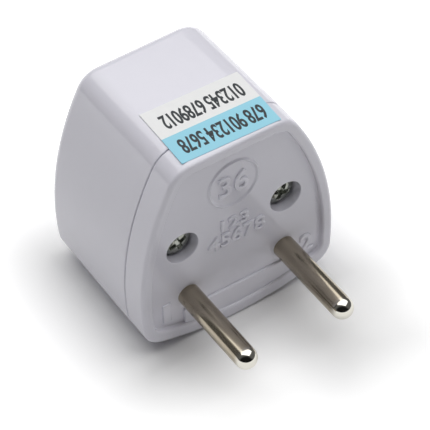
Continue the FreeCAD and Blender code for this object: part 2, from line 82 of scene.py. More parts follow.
# Points along the stretches of the case's outline, round turned forms and round an entry
BASE_STEPS = 36
BASE_CORNER_STEPS = 18
SIDE_STEPS = 56
TOP_CORNER_STEPS = 20
TOP_STEPS = 24
TURNED_STEPS = 96
DOME_STEPS = 25
BEAD_STEPS = 13
ENTRY_STEPS = 480

# Roundings, and the flat borders beside them that keep the shading of the faces flat
RIM_ROUND = 0.75
SOCKET_ROUND = 2.0
SEAM_ROUND = 0.2
RIM_INNER_ROUND = 0.35
RECESS_ROUND = 0.25
SOFT_ROUND = 0.2
BORE_ROUND = 0.15
HEAD_ROUND = 0.12
FINE_ROUND = 0.1
HOLD = 0.03
FACE_BORDER = 0.6
WALL_BORDER = 0.4
BORE_BORDER = 0.35
BOSS_BORDER = 0.3
ENTRY_BORDER = 0.2

# Pin cover
RIM_WIDTH = 2.0
RIM_MIDDLE = 1.2
BASE_RIM_WIDTH = 2.6
FLOOR_THICK = 2.0
TONGUE_INSET = 1.15
TONGUE_END = 6.0
LEDGE_HALF = 10.65
LEDGE_TOP = 6.8
LEDGE_FOOT = 2.1
LEDGE_HEIGHT = 0.5
LEDGE_CORNER = 0.4
LEDGE_ROUND = 0.25
LEDGE_ROOT = 0.15
RING_RADIUS = 4.9
RING_LINE = 0.8
RING_INNER_SHARE = 0.75
RING_ROOT = 0.1
RING_DROP = 9.35
RING_Z = HEIGHT - RING_DROP
PIN_X = (PIN_LOW.x + PIN_HIGH.x) / 2 / MM
PIN_Z = (PIN_LOW.z + PIN_HIGH.z) / 2 / MM
PIN_RADIUS = 2.0
PIN_LENGTH = FLOOR_PLACE - round(PIN_LOW.y / MM, 3)
PIN_NECK = 1.75
PIN_BOSS_RADIUS = 4.4
PIN_BOSS_Y = 5.5
SCREW_X = (SCREW_LOW.x + SCREW_HIGH.x) / 2 / MM
SCREW_Z = (SCREW_LOW.z + SCREW_HIGH.z) / 2 / MM
COUNTERBORE_RADIUS = 3.05
SEAT_Y = 3.2
SCREW_HOLE = 1.65
SCREW_BOSS_RADIUS = 4.3
SCREW_BOSS_Y = 5.0

# Socket shell. The broad and the blade slot are their near and far side and half their height,
# the slanted slot is its middle, half its width and half its height.
RABBET_Y = 6.15
POST_RADIUS = 3.2
POST_ROOT = 0.5
PILOT_RADIUS = 1.25
PILOT_DEPTH = 12.0
PILOT_END = SCREW_BOSS_Y + PILOT_DEPTH
DIVIDER_HALF = 0.7
DIVIDER_TOP = 15.6
DIVIDER_Y = 9.7
ENTRY_POINT = 7.32
ROUND_ENTRY = 2.7
BROAD_ENTRY = (7.3, 14.9, 2.35)
BLADE_ENTRY = (5.35, 7.35, 4.2)
SLANT_ENTRY = (6.86, 1.0, 3.7)
SLANT_ANGLE = math.radians(30)
EARTH_SLOT = (4.6, 8.9)
EARTH_SLOT_DROP = 3.35
EARTH_SLOT_Z = HEIGHT - EARTH_SLOT_DROP - EARTH_SLOT[1] / 2
EARTH_SLOT_CORNER = 0.4
SMALL_EARTH_RADIUS = 2.6
SMALL_EARTH_Z = 21.8

# Pins
COLLAR_RADIUS = 3.2
PLATE_Y = 6.7
STRIP_THICK = 0.6
TAIL_RADIUS = 1.5
RIVET_RADIUS = 2.4
RIVET_THICK = 0.8

# Screws
HEAD_RADIUS = 2.75
HEAD_TOP_Y = 1.3
HEAD_CROWN = 0.7
CROWN_POWER = 3.2
HEAD_STEPS = 192
CROSS_SPAN = 1.6
CROSS_HALF = 0.4
CROSS_DEPTH = 1.1
CROSS_WALL = 0.16
CROSS_END_LOSS = 0.45
CROSS_BORDER = 0.3
CROSS_RINGS = 34
CROWN_EDGE = 0.4
CROWN_RINGS = 8
SCREW_LENGTH = 12.0
SCREW_END = SEAT_Y + SCREW_LENGTH
SCREW_POINT = 2.4
POINT_POWER = 0.8
THREAD_RADIUS = 1.58
THREAD_PITCH = 1.0
THREAD_HALF_SHARE = 0.24
THREAD_START = 0.6
THREAD_RUN = 0.8
THREAD_STEPS = 48
THREAD_ROWS = 145

# Moulded numbers: words, place across and up, width, height
MOULDED_NUMBERS = (("36", 0.0, RING_Z, 5.6, 4.4), ("123", 0.0, 21.65, 5.2, 2.3),
                   ("45678", 0.25, 18.3, 11.0, 2.9), ("1", -13.9, 7.8, 1.3, 3.9),
                   ("2", 14.0, 8.0, 2.4, 3.8))
NUMBER_RELIEF = 0.34
NUMBER_BOLD = -0.07
NUMBER_THICK = 0.1
NUMBER_ROUND = 0.2
WORD_GAP = 0.7

# Label, and the numbers printed on it: words, place across and along, width
LABEL_SIZE = (18.5, 13.4)
LABEL_CENTRE = (0.25, 6.7)
LABEL_TURN = math.radians(-2.0)
LABEL_THICK = 0.1
LABEL_GRID = (25, 49)
BLUE_SHARE = 0.475
PRINTED_NUMBERS = (("678 901234 5678", 0.3, -3.45, 15.6), ("012345 6789012", 0.3, 2.85, 14.9))
INK_THICK = 0.015
INK_HEIGHT = 3.35
INK_BOLD = 0.075

# Meshes: the angle of a sharp edge, and how near points merge, in metres
EDGE_ANGLE = math.radians(38)
MERGE_REACH = 1e-7
SLIVER_REACH = 1e-8

# Colours, and the range that noise mostly keeps to
NOISE_LOW = 0.3
NOISE_HIGH = 0.7
WHITE = (1, 1, 1, 1)
PLASTIC_TONES = ((0.775, 0.765, 0.84, 1), (0.80, 0.79, 0.865, 1))
# Pin plating: the dome's tone is painted lighter as a highlight, the shank's painted darker and
# browner as shade
DOME_PAINTED_HIGHLIGHT = (0.66, 0.64, 0.58, 1)
SHANK_PAINTED_SHADE = ((0.345, 0.30, 0.23, 1), (0.45, 0.40, 0.315, 1))
# Screw plating: the dark tone is painted shade of the counterbore, the light one is zinc, mixed by
# grain
ZINC_AND_PAINTED_SHADE = ((0.17, 0.18, 0.155, 1), (0.50, 0.51, 0.47, 1))
BRASS_TONES = ((0.66, 0.46, 0.20, 1), (0.83, 0.64, 0.33, 1))
FILM_WHITE = (0.915, 0.915, 0.91, 1)
FILM_BLUE = (0.31, 0.71, 0.87, 1)
FILM_DUST = (0.60, 0.66, 0.70, 1)
DUST_SHARE = 0.12
INK_TONES = ((0.006, 0.010, 0.014, 1), (0.03, 0.038, 0.045, 1))
TABLE_TONES = ((0.94, 0.94, 0.94, 1), (0.96, 0.96, 0.96, 1))

# Table. Its glow rises to 1 from the near to the far distance, and fades at two rectangles,
# which paints shade round the case and the pins' shadow on the floor: the share of the glow
# that is left there, middle, half size.
TABLE_HALF = 1500.0
TABLE_GLOW = 0.36
GLOW_NEAR = 100.0
GLOW_FAR = 800.0
GLOW_FADE = 12.0
PAINTED_SHADE_CASE = (0.0, (0.5, 7.3, 0.0), (19.5, 15.7, 0.0))
PAINTED_SHADOW_PINS = (0.35, (14.0, -22.0, 0.0), (6.0, 4.0, 0.0))

# Room. The light comes from the horizon up to a height of its direction. The walls darken
# between two cosines of the angle from the camera's bearing.
ROOM_LIGHT = 0.16
ROOM_LIGHT_TOP = 0.45
ROOM_WALL = 0.14
OPENING_WALL = 0.012
OPENING_EDGE = (0.38, 0.62)

# Lamp
SOFTBOX_WAY = (0.17, 0.18, 0.97)
SOFTBOX_AIM = (0.0, 0.0, 20.0)
SOFTBOX_DISTANCE = 1000.0
SOFTBOX_SIZE = (1850.0, 1350.0)
SOFTBOX_WATTS = 15.9

# Camera
CAMERA_PLACE = (-179.05, -288.06, 371.81)
CAMERA_AZIMUTH = math.radians(-31.762)
CAMERA_HEIGHT = math.radians(46.153)
CAMERA_ROLL = math.radians(-2.368)
CAMERA_LENS = 248.4
CAMERA_SENSOR = 36
CAMERA_NEAREST = 10.0


def crossing(one, one_reach, other, other_reach):
    """The lower of the two points that lie at both reaches from the two centres."""
    line = other - one
    distance = math.hypot(*line)
    along = (one_reach ** 2 - other_reach ** 2 + distance ** 2) / (2 * distance)
    aside = math.sqrt(one_reach ** 2 - along ** 2)
    unit = line / distance
    square = np.array([-unit[1], unit[0]]) * aside
    return min(one + unit * along + square, one + unit * along - square, key=lambda p: p[1])


def angle_of(step):
    """Angle of a step (across, up) from the first axis."""
    return math.atan2(step[1], step[0])


def arc(centre, radius, start, end, count):
    """Points on a circle from one angle up to, not including, the other."""
    turn = np.linspace(start, end, count, endpoint=False)
    return np.stack([centre[0] + radius * np.cos(turn), centre[1] + radius * np.sin(turn)], 1)


def section(inset, base_inset, taper):
    """Closed outline of the adapter across its depth, as points (x, z).

    From the middle of the base: half the bowed base, the base corner, the bowed side, the top
    corner and half the flat top, then their mirror image. The inset keeps every arc's centre
    and takes it from the radius. The taper, 0 to 1, draws the sides and the top in.
    """
    side = np.array([HALF_WIDTH - taper * SIDE_DRAFT - SIDE_RADIUS, SIDE_PEAK])
    base = np.array([0.0, BASE_RADIUS])
    side_radius = SIDE_RADIUS - inset
    base_radius = BASE_RADIUS - base_inset
    top_round = max(TOP_CORNER - inset, SMALLEST_CORNER)
    base_round = max(BASE_CORNER - inset, SMALLEST_CORNER)
    top = HEIGHT - taper * TOP_DRAFT - inset
    rise = top - top_round - side[1]
    top_centre = side + np.array([math.sqrt((side_radius - top_round) ** 2 - rise ** 2), rise])
    base_centre = crossing(base, base_radius - base_round, side, side_radius - base_round)
    base_turn = angle_of(base_centre - base)
    low_turn = angle_of(base_centre - side)
    high_turn = angle_of(top_centre - side)
    half_top = np.linspace(top_centre[0], 0.0, TOP_STEPS)
    right = np.concatenate([
        arc(base, base_radius, -math.pi / 2, base_turn, BASE_STEPS),
        arc(base_centre, base_round, base_turn, low_turn, BASE_CORNER_STEPS),
        arc(side, side_radius, low_turn, high_turn, SIDE_STEPS),
        arc(top_centre, top_round, high_turn, math.pi / 2, TOP_CORNER_STEPS),
        np.stack([half_top, np.full(TOP_STEPS, top)], 1),
    ])
    left = right[-2:0:-1] * [-1, 1]
    return np.concatenate([right, left])


def rounded_path(corners, steps=6):
    """A path of straight runs whose corners are rounded.

    Each corner is its coordinates and its radius. A rounded corner P between the unit runs a
    and b becomes P - r a (1 - sin t) + r b (1 - cos t) for t from 0 to a right angle, with a
    short holding step before and after it that keeps the shading of the flats flat.
    """
    places = np.array([corner[:-1] for corner in corners], float)
    radii = [corner[-1] for corner in corners]
    runs = np.diff(places, axis=0)
    runs = runs / np.abs(runs[:, :2]).sum(1, keepdims=True)
    rows = [places[:1]]
    for place, radius, before, after in zip(places[1:-1], radii[1:-1], runs, runs[1:]):
        if radius == 0:
            rows.append(place[None])
            continue
        turn = np.linspace(0, math.pi / 2, steps + 1)[:, None]
        bend = place - radius * before * (1 - np.sin(turn)) + radius * after * (1 - np.cos(turn))
        rows.append((place - (radius + HOLD) * before)[None])
        rows.append(bend)
        rows.append((place + (radius + HOLD) * after)[None])
    rows.append(places[-1:])
    return np.concatenate(rows)


def case_rows(corners, steps=6):
    """The case's section carried along a path of corners (y, inset, base inset, taper, radius)."""
    loops = []
    for y, inset, base_inset, taper in rounded_path(corners, steps):
        loops.append(np.insert(section(inset, base_inset, taper), 1, y, axis=1))
    return np.stack(loops)


def lathe_rows(profile, across, up, count=TURNED_STEPS):
    """Circles of radius r about an axis along Y, one for each point (y, r) of the profile."""
    turn = np.linspace(0, 2 * math.pi, count, endpoint=False)
    y = profile[:, 0, None] + 0 * turn
    return np.stack([across + profile[:, 1, None] * np.cos(turn), y,
                     up + profile[:, 1, None] * np.sin(turn)], 2)


def pill(across, up, half_width, half_height, corner, steps=8):
    """A function of an inset that gives a rectangle with round corners, as points (x, z)."""
    def outline(inset):
        radius = max(corner - inset, SMALLEST_ROUND)
        spin = np.linspace(0, math.pi / 2, steps)
        loop = []
        for quarter, (right, above) in enumerate(((1, 1), (-1, 1), (-1, -1), (1, -1))):
            centre = np.array([across + right * (half_width - inset - radius),
                               up + above * (half_height - inset - radius)])
            around = spin + quarter * math.pi / 2
            loop.append(centre + radius * np.stack([np.cos(around), np.sin(around)], 1))
        return np.concatenate(loop)
    return outline


def entry_reach(turn):
    """How far the merged entry of one pole reaches from its inner point in each direction.

    The entry is the union of a round hole, a broad slot, an upright and a slanted blade slot,
    which all hold that point, so it is the farthest of the four exits along each ray.
    """
    ray = np.stack([np.cos(turn), np.sin(turn)], 1)

    def box_exit(middle, half_width, half_height, lean=0.0):
        c, s = math.cos(lean), math.sin(lean)
        local = ray @ np.array([[c, -s], [s, c]])
        start = np.array([[c, s], [-s, c]]) @ np.array([ENTRY_POINT - middle, 0.0])
        with np.errstate(divide="ignore", invalid="ignore"):
            across = (np.sign(local[:, 0]) * half_width - start[0]) / local[:, 0]
            up = (np.sign(local[:, 1]) * half_height - start[1]) / local[:, 1]
        return np.minimum(np.where(local[:, 0] == 0, np.inf, across),
                          np.where(local[:, 1] == 0, np.inf, up))

    off = ENTRY_POINT - PIN_X
    along = off * ray[:, 0]
    exits = [-along + np.sqrt(along ** 2 + ROUND_ENTRY ** 2 - off ** 2)]
    for near, far, half_height in (BROAD_ENTRY, BLADE_ENTRY):
        exits.append(box_exit((near + far) / 2, (far - near) / 2, half_height))
    exits.append(box_exit(*SLANT_ENTRY, lean=-SLANT_ANGLE))
    return np.max(exits, axis=0)


def entry_outline(side):
    """A function of an inset that gives the merged entry of one pole, as points (x, z)."""
    turn = np.linspace(0, 2 * math.pi, ENTRY_STEPS, endpoint=False)
    reach = entry_reach(turn)

    def outline(inset):
        return np.stack([side * (ENTRY_POINT + (reach - inset) * np.cos(turn)),
                         PIN_Z + (reach - inset) * np.sin(turn)], 1)
    return outline


def outline_rows(outline, path):
    """A loop that is a function of an inset, carried along a path of points (y, inset)."""
    return np.stack([np.insert(outline(inset), 1, y, axis=1) for y, inset in path])


def add_object(name, data):
    """A new object, linked into the scene."""
    made = bpy.data.objects.new(name, data)
    bpy.context.scene.collection.objects.link(made)
    return made


def smooth_piece(name, mesh):
    """A new object whose mesh is shaded smooth between its sharp edges."""
    mesh.shade_smooth()
    mesh.set_sharp_from_angle(angle=EDGE_ANGLE)
    return add_object(name, mesh)


def seat(piece, material, slot, *nodes):
    """Gives a piece its finish and ties it to the part."""
    piece.data.materials.append(material)
    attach(piece, "root")
    if nodes:
        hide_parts(*nodes)


class Mesh:
    """Vertices and faces gathered from grids and caps."""

    def __init__(self):
        self.points = []
        self.faces = []
        self.count = 0

    def gather(self, points, faces):
        """Adds points and faces that count from the first of them."""
        self.points.append(points.reshape(-1, 3))
        self.faces += [[corner + self.count for corner in face] for face in faces]
        self.count += len(self.points[-1])
        return self

    def skin(self, rows, closed=False):
        """Quads between neighbouring rows of a grid whose rows are loops."""
        many, around = rows.shape[:2]
        index = np.arange(many * around).reshape(many, around)
        after = np.roll(index, -1, axis=0) if closed else index[1:]
        before = index if closed else index[:-1]
        quads = np.stack([before, np.roll(before, -1, 1), np.roll(after, -1, 1), after], 2)
        return self.gather(rows, quads.reshape(-1, 4).tolist())

    def cap(self, outer, *holes):
        """A flat face inside one loop and outside the others, as triangles."""
        loops = [outer, *holes]
        flat = [[Vector((x, z, 0.0)) for x, y, z in loop] for loop in loops]
        return self.gather(np.concatenate(loops), tessellate_polygon(flat))

    def closed(self, rows):
        """Rows of loops with a flat face at each end."""
        return self.skin(rows).cap(rows[0]).cap(rows[-1])

    def pierced(self, rows, holes):
        """Rows of loops whose end faces have holes, with each hole's own rows as its wall."""
        self.skin(rows)
        for hole in holes:
            self.skin(hole)
        self.cap(rows[0], *[hole[0] for hole in holes])
        return self.cap(rows[-1], *[hole[-1] for hole in holes])

    def finish(self, name):
        """Merges what meets, turns every face outwards and makes the piece."""
        points = np.concatenate(self.points) + [0, FLOOR_PLACE, 0]
        mesh = bpy.data.meshes.new(name)
        mesh.from_pydata((points * MM).tolist(), [], self.faces)
        tidy = bmesh.new()
        tidy.from_mesh(mesh)
        bmesh.ops.remove_doubles(tidy, verts=tidy.verts, dist=MERGE_REACH)
        bmesh.ops.dissolve_degenerate(tidy, edges=tidy.edges, dist=SLIVER_REACH)
        bmesh.ops.recalc_face_normals(tidy, faces=tidy.faces)
        tidy.to_mesh(mesh)
        tidy.free()
        return smooth_piece(name, mesh)


def cover_shape():
    """Pin cover: floor, rim, tongue and hollow from one profile, bosses and bores turned.

    The ledge is a rounded rectangle that rises from the floor with a rounded edge. The ring is
    a bead turned about its middle, with a height that follows a squared sine across its line.
    """
    rows = case_rows([
        (0, RIM_WIDTH + FACE_BORDER, BASE_RIM_WIDTH + FACE_BORDER, 0, 0),
        (0, RIM_WIDTH, BASE_RIM_WIDTH, 0, RECESS_ROUND),
        (-FLOOR_RECESS, RIM_WIDTH, BASE_RIM_WIDTH, 0, RIM_INNER_ROUND),
        (-FLOOR_RECESS, RIM_MIDDLE, RIM_MIDDLE, 0, 0),
        (-FLOOR_RECESS, 0, 0, 0, RIM_ROUND),
        (SEAM_Y - SEAM_GAP, 0, 0, 0, SEAM_ROUND),
        (SEAM_Y - SEAM_GAP, TONGUE_INSET, TONGUE_INSET, 0, 0),
        (TONGUE_END, TONGUE_INSET, TONGUE_INSET, 0, SOFT_ROUND),
        (TONGUE_END, WALL, WALL, 0, SOFT_ROUND),
        (FLOOR_THICK, WALL, WALL, 0, 0),
        (FLOOR_THICK, WALL + WALL_BORDER, WALL + WALL_BORDER, 0, 0),
    ])
    counterbore = rounded_path([
        (0, COUNTERBORE_RADIUS + BORE_BORDER, 0),
        (0, COUNTERBORE_RADIUS, BORE_ROUND),
        (SEAT_Y, COUNTERBORE_RADIUS, FINE_ROUND),
        (SEAT_Y, SCREW_HOLE, 0),
        (SCREW_BOSS_Y, SCREW_HOLE, 0),
        (SCREW_BOSS_Y, SCREW_BOSS_RADIUS, SOFT_ROUND),
        (FLOOR_THICK, SCREW_BOSS_RADIUS, 0),
        (FLOOR_THICK, SCREW_BOSS_RADIUS + BOSS_BORDER, 0),
    ])
    pin_bore = rounded_path([
        (0, PIN_RADIUS + WALL_BORDER, 0),
        (0, PIN_NECK, 0),
        (PIN_BOSS_Y, PIN_NECK, 0),
        (PIN_BOSS_Y, PIN_BOSS_RADIUS, SOFT_ROUND),
        (FLOOR_THICK, PIN_BOSS_RADIUS, 0),
        (FLOOR_THICK, PIN_BOSS_RADIUS + BOSS_BORDER, 0),
    ])
    holes = [lathe_rows(counterbore, side * SCREW_X, SCREW_Z) for side in (-1, 1)]
    holes += [lathe_rows(pin_bore, side * PIN_X, PIN_Z) for side in (-1, 1)]
    mesh = Mesh().pierced(rows, holes)

    middle = (LEDGE_TOP + LEDGE_FOOT) / 2
    ledge = pill(0, middle, LEDGE_HALF, LEDGE_TOP - middle, LEDGE_CORNER)
    mesh.closed(outline_rows(ledge, rounded_path([
        (LEDGE_ROOT, 0, 0),
        (-LEDGE_HEIGHT, 0, LEDGE_ROUND),
        (-LEDGE_HEIGHT, LEDGE_ROUND + 2 * HOLD, 0),
    ], steps=4)))

    bead = np.linspace(0, math.pi, BEAD_STEPS)
    ring = np.stack([-NUMBER_RELIEF * np.sin(bead) ** 2,
                     RING_RADIUS + RING_LINE * (bead / math.pi - RING_INNER_SHARE)], 1)
    ring = np.concatenate([[(RING_ROOT, ring[0, 1])], ring, [(RING_ROOT, ring[-1, 1])]])
    return mesh.skin(lathe_rows(ring, 0, RING_Z), closed=True)


def shell_shape():
    """Socket shell: outside, rabbet and hollow from one profile, then the entries and posts."""
    rows = case_rows([
        (REAR_Y, SOCKET_ROUND + FACE_BORDER, SOCKET_ROUND + FACE_BORDER, 1, 0),
        (REAR_Y, 0, 0, 1, SOCKET_ROUND),
        (TAPER_Y, 0, 0, 1, 0),
        (MOUTH_Y, 0, 0, 0, 0),
        (SEAM_Y + SEAM_GAP, 0, 0, 0, SEAM_ROUND),
        (SEAM_Y + SEAM_GAP, WALL / 2, WALL / 2, 0, FINE_ROUND),
        (RABBET_Y, WALL / 2, WALL / 2, 0, 0),
        (RABBET_Y, WALL, WALL, 1, 0),
        (FACE_Y, WALL, WALL, 1, 0),
        (FACE_Y, WALL + WALL_BORDER, WALL + WALL_BORDER, 1, 0),
    ], steps=8)
    through = rounded_path([
        (REAR_Y, -WALL_BORDER, 0),
        (REAR_Y, 0, SOFT_ROUND),
        (FACE_Y, 0, 0),
        (FACE_Y, -ENTRY_BORDER, 0),
    ], steps=4)
    earth = pill(0, EARTH_SLOT_Z, EARTH_SLOT[0] / 2, EARTH_SLOT[1] / 2, EARTH_SLOT_CORNER)
    small = pill(0, SMALL_EARTH_Z, SMALL_EARTH_RADIUS, SMALL_EARTH_RADIUS, SMALL_EARTH_RADIUS,
                 steps=24)
    mesh = Mesh().pierced(rows, [
        outline_rows(outline, through)
        for outline in (entry_outline(-1), entry_outline(1), earth, small)])

    post = rounded_path([
        (FACE_Y + POST_ROOT, 0, 0),
        (FACE_Y + POST_ROOT, POST_RADIUS, 0),
        (SCREW_BOSS_Y, POST_RADIUS, SOFT_ROUND),
        (SCREW_BOSS_Y, PILOT_RADIUS, FINE_ROUND),
        (PILOT_END, PILOT_RADIUS, 0),
        (PILOT_END, 0, 0),
    ])
    for side in (-1, 1):
        mesh.skin(lathe_rows(post, side * SCREW_X, SCREW_Z))
    divider = pill(0, (DIVIDER_TOP + WALL / 2) / 2, DIVIDER_HALF,
                   (DIVIDER_TOP - WALL / 2) / 2, SOFT_ROUND)
    return mesh.closed(outline_rows(divider, [(DIVIDER_Y, 0), (FACE_Y + POST_ROOT, 0)]))


def pin_shape(side):
    """Round pin: a half sphere, the shank, a neck, a collar and the tail upset to a dome."""
    dome = np.linspace(0, math.pi / 2, DOME_STEPS)
    tip = np.stack([-PIN_LENGTH + PIN_RADIUS * (1 - np.cos(dome)), PIN_RADIUS * np.sin(dome)], 1)
    shank = rounded_path([
        (-PIN_LENGTH + PIN_RADIUS + HOLD, PIN_RADIUS, 0),
        (0, PIN_RADIUS, 0),
        (0, PIN_NECK, 0),
        (PIN_BOSS_Y, PIN_NECK, 0),
        (PIN_BOSS_Y, COLLAR_RADIUS, BORE_ROUND),
        (PLATE_Y, COLLAR_RADIUS, BORE_ROUND),
        (PLATE_Y, TAIL_RADIUS, 0),
        (PLATE_Y + STRIP_THICK, TAIL_RADIUS, 0),
    ])
    upset = np.linspace(0, math.pi / 2, BEAD_STEPS)
    head = np.stack([PLATE_Y + STRIP_THICK + RIVET_THICK * np.sin(upset),
                     RIVET_RADIUS * np.cos(upset)], 1)
    return Mesh().skin(lathe_rows(np.concatenate([tip, shank, head]), side * PIN_X, PIN_Z))


def screw_shape(side, turn):
    """Pan-head screw: a crowned disc with a cross pressed in, and a helical thread.

    The head is a height field on a polar grid. The cross is the deeper of two arms, each deep
    on its middle line and shallower towards its end. The thread is a surface in angle and
    length whose radius rises and falls once a turn, and shrinks to a point at the end.
    """
    axis = side * SCREW_X
    around = np.linspace(0, 2 * math.pi, HEAD_STEPS, endpoint=False)
    out = np.concatenate([np.linspace(0, CROSS_SPAN + CROSS_BORDER, CROSS_RINGS),
                          np.linspace(CROSS_SPAN + CROWN_EDGE, HEAD_RADIUS, CROWN_RINGS)])
    out = out[:, None]
    across, up = out * np.cos(around - turn), out * np.sin(around - turn)

    def within(half, place):
        return np.clip((half - np.abs(place)) / CROSS_WALL + 0.5, 0, 1)

    def arm(along, aside):
        floor = CROSS_DEPTH * (1 - CROSS_END_LOSS * np.abs(along) / CROSS_SPAN)
        return floor * within(CROSS_HALF, aside) * within(CROSS_SPAN, along)

    def neck(count):
        return lathe_rows(np.array([[SEAT_Y, PILOT_RADIUS]]), axis, SCREW_Z, count)[0]

    crown = HEAD_CROWN * (out / HEAD_RADIUS) ** CROWN_POWER + 0 * around
    depth = crown + np.maximum(arm(across, up), arm(up, across))
    head = np.stack([axis + out * np.cos(around), HEAD_TOP_Y + depth,
                     SCREW_Z + out * np.sin(around)], 2)
    below = rounded_path([
        (HEAD_TOP_Y + HEAD_CROWN, HEAD_RADIUS, 0),
        (SEAT_Y, HEAD_RADIUS, HEAD_ROUND),
        (SEAT_Y, PILOT_RADIUS, 0),
    ], steps=4)
    mesh = Mesh().skin(head).skin(lathe_rows(below, axis, SCREW_Z, HEAD_STEPS))
    mesh.cap(neck(HEAD_STEPS))

    along = np.linspace(SEAT_Y, SCREW_END, THREAD_ROWS)[:, None]
    spin = np.linspace(0, 2 * math.pi, THREAD_STEPS, endpoint=False)
    phase = np.mod(along / THREAD_PITCH - spin / (2 * math.pi), 1.0)
    crest = np.clip(1 - np.abs(phase - 0.5) / THREAD_HALF_SHARE, 0, 1)
    started = np.clip((along - SEAT_Y - THREAD_START) / THREAD_RUN, 0, 1)
    point = np.clip((SCREW_END - along) / SCREW_POINT, 0, 1) ** POINT_POWER
    radius = point * (PILOT_RADIUS + started * (THREAD_RADIUS - PILOT_RADIUS) * crest)
    thread = np.stack([axis + radius * np.cos(spin), along + 0 * spin,
                       SCREW_Z + radius * np.sin(spin)], 2)
    return mesh.skin(thread).cap(neck(THREAD_STEPS))


def number_line(words, width, height, bold, thick, edge=0.0):
    """A line of plain numbers as points (across, up, out) from its middle, and its faces.

    The built-in font's outlines are stretched to the width and height, made bolder by an even
    offset, and given thickness and a rounded edge.
    """
    text = bpy.data.curves.new("number_line", "FONT")
    text.body = words
    text.space_word = WORD_GAP
    line = add_object("number_line", text)
    bpy.context.view_layer.update()
    outline = line.to_curve(bpy.context.evaluated_depsgraph_get()).copy()
    low, high = [np.array(corner) for corner in (line.bound_box[0], line.bound_box[6])]
    stretch = np.array([width / (high[0] - low[0]), height / (high[1] - low[1]), 1.0])
    middle = (low + high) / 2
    for spline in outline.splines:
        for handle in ("co", "handle_left", "handle_right"):
            places = np.zeros(3 * len(spline.bezier_points))
            spline.bezier_points.foreach_get(handle, places)
            moved = (places.reshape(-1, 3) - middle) * stretch
            spline.bezier_points.foreach_set(handle, moved.ravel())
    outline.dimensions = "2D"
    outline.fill_mode = "BOTH"
    outline.resolution_u = 5
    outline.offset = bold
    outline.extrude = thick
    outline.bevel_depth = edge
    outline.bevel_resolution = 2
    solid = add_object("number_solid", outline)
    bpy.context.view_layer.update()
    flat = bpy.data.meshes.new_from_object(
        solid.evaluated_get(bpy.context.evaluated_depsgraph_get()))
    points = np.zeros(len(flat.vertices) * 3)
    flat.vertices.foreach_get("co", points)
    faces = [list(face.vertices) for face in flat.polygons]
    for used in (line, solid):
        bpy.data.objects.remove(used)
    for used in (text, outline):
        bpy.data.curves.remove(used)
    bpy.data.meshes.remove(flat)
    return points.reshape(-1, 3), faces


def numbers_shape():
    """Plain moulded numbers: one in the ring, two rows below it and one beside each pin."""
    mesh = Mesh()
    for words, across, up, width, height in MOULDED_NUMBERS:
        points, faces = number_line(words, width, height, NUMBER_BOLD, NUMBER_THICK, NUMBER_ROUND)
        x, z, out = points.T
        y = out.max() - NUMBER_RELIEF - out
        mesh.gather(np.stack([x + across, y, z + up], 1), faces)
    return mesh


def top_height(y):
    """Height of the flat top at a depth: level to the mouth, then falling, round at the rim."""
    fall = TOP_DRAFT * np.clip((y - MOUTH_Y) / (TAPER_Y - MOUTH_Y), 0, 1)
    front = np.clip((RIM_ROUND - FLOOR_RECESS - y) / RIM_ROUND, 0, 1)
    return HEIGHT - fall - RIM_ROUND * (1 - np.sqrt(1 - front ** 2))


def on_label(local):
    """Places points (across, along) of the label on the top: turned askew and moved back."""
    c, s = math.cos(LABEL_TURN), math.sin(LABEL_TURN)
    return local @ np.array([[c, s], [-s, c]]) + LABEL_CENTRE


def label_sheet():
    """Thin sheet on a grid across and along the label, laid on the top and turned askew.

    Its UV map runs 0 to 1 across and along.
    """
    across, along = np.meshgrid(*[np.linspace(0, 1, count) for count in LABEL_GRID])
    place = on_label(np.stack([(across - 0.5) * LABEL_SIZE[0], (along - 0.5) * LABEL_SIZE[1]], 2))
    x, y = place[..., 0], place[..., 1]
    upper = np.stack([x, y, top_height(y) + LABEL_THICK - INK_THICK], 2)
    lower = np.stack([x, y, top_height(y)], 2)
    index = np.arange(x.size).reshape(x.shape)
    top = np.stack([index[:-1, :-1], index[:-1, 1:], index[1:, 1:], index[1:, :-1]], 2)
    edge = np.concatenate([index[0, :-1], index[:-1, -1], index[-1, :0:-1], index[:0:-1, 0]])
    after = np.roll(edge, -1)
    faces = np.concatenate([top.reshape(-1, 4), top.reshape(-1, 4)[:, ::-1] + x.size,
                            np.stack([edge, edge + x.size, after + x.size, after], 1)])
    points = np.concatenate([upper.reshape(-1, 3), lower.reshape(-1, 3)]) + [0, FLOOR_PLACE, 0]
    mesh = bpy.data.meshes.new("label_sheet")
    mesh.from_pydata((points * MM).tolist(), [], faces.tolist())
    spread = np.concatenate([np.stack([across, along], 2).reshape(-1, 2)] * 2)
    corner = np.zeros(len(mesh.loops), np.int32)
    mesh.loops.foreach_get("vertex_index", corner)
    mesh.uv_layers.new(name="print").data.foreach_set("uv", spread[corner].ravel())
    return smooth_piece("label_sheet", mesh)


def print_shape():
    """Two rows of plain numbers printed on the label, turned to read from the socket end."""
    mesh = Mesh()
    for words, across, along, width in PRINTED_NUMBERS:
        points, faces = number_line(words, width, INK_HEIGHT, INK_BOLD, INK_THICK)
        flat = on_label(-points[:, :2] + [across, along])
        high = top_height(flat[:, 1]) + LABEL_THICK + points[:, 2] - points[:, 2].max()
        mesh.gather(np.column_stack([flat, high]), faces)
    return mesh


